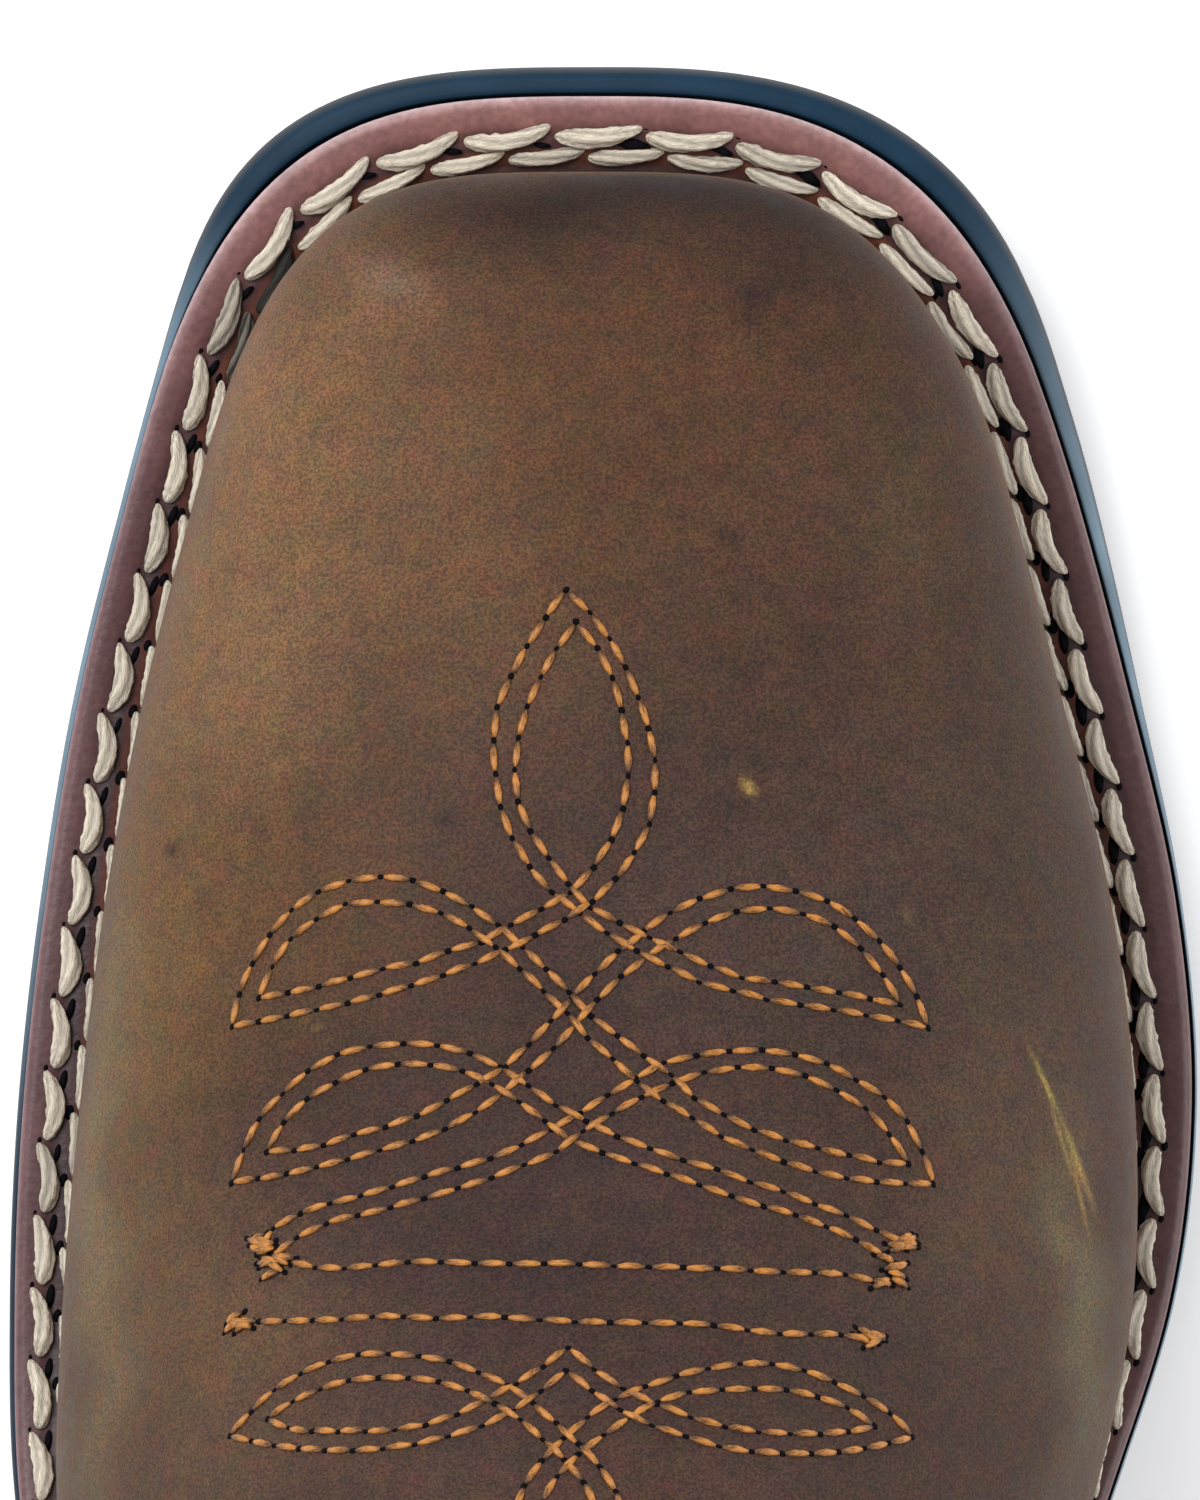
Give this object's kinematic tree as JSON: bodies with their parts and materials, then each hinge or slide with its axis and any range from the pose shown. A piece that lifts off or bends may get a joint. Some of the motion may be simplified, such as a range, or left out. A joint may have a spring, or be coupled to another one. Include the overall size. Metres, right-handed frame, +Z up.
{
  "type": "western boot",
  "caption": "Left western boot with a broad square toe, stitched leather welt, low walking heel, scalloped shaft and pull straps.",
  "frame": {"origin": "centre of the boot's bounding box, on the floor under the sole", "axes": "+Z up, -Y towards the toe, +X towards the outer (lateral) side of this left boot"},
  "size_m": [0.115, 0.302, 0.3471],
  "materials": {
    "boot_leather": "waxed, softly worn",
    "welt_leather": "burnished",
    "sole_rubber": "satin",
    "lining_leather": "matte"
  },
  "bodies": {
    "root": {"outsole": "sole_rubber", "welt": "welt_leather", "heel_block": "sole_rubber", "top_lift": "sole_rubber", "insole": "lining_leather", "upper": "boot_leather", "vamp": "boot_leather", "counter": "boot_leather", "side_piping_lateral": "boot_leather", "side_piping_medial": "boot_leather", "top_binding": "boot_leather", "pull_strap_lateral": "boot_leather", "pull_strap_medial": "boot_leather"}
  },
  "joints": []
}
